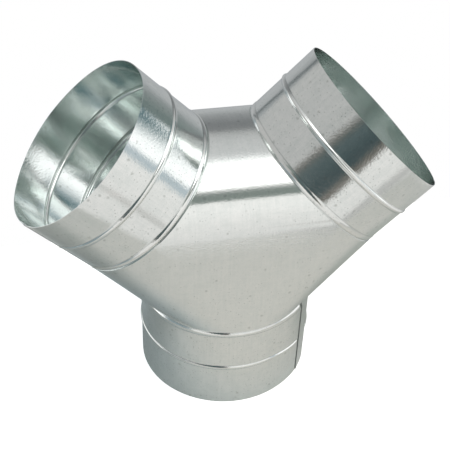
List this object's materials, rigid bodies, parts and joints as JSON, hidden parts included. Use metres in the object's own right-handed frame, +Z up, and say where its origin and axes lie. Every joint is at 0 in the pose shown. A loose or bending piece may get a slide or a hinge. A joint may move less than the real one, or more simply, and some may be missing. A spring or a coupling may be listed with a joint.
{
  "type": "duct coupler",
  "caption": "Y-shaped duct coupler in bare galvanised sheet: a straight-sided forked body with round beaded collars that joins two branch ducts to a main duct",
  "frame": {"origin": "middle of the trunk collar's rim, on the plane the part stands on", "axes": "+X across the two branches to the right-hand one, +Y towards the back, +Z up from the trunk to the branches"},
  "size_m": [0.4682, 0.2028, 0.3919],
  "materials": {
    "galvanised_body": "bare galvanised sheet, faint spangle, satin",
    "galvanised_collar": "bare galvanised sheet, rolled and beaded, satin"
  },
  "bodies": {
    "root": {"y_body": "galvanised_body", "trunk_collar": "galvanised_collar", "left_collar": "galvanised_collar", "right_collar": "galvanised_collar"}
  },
  "joints": []
}
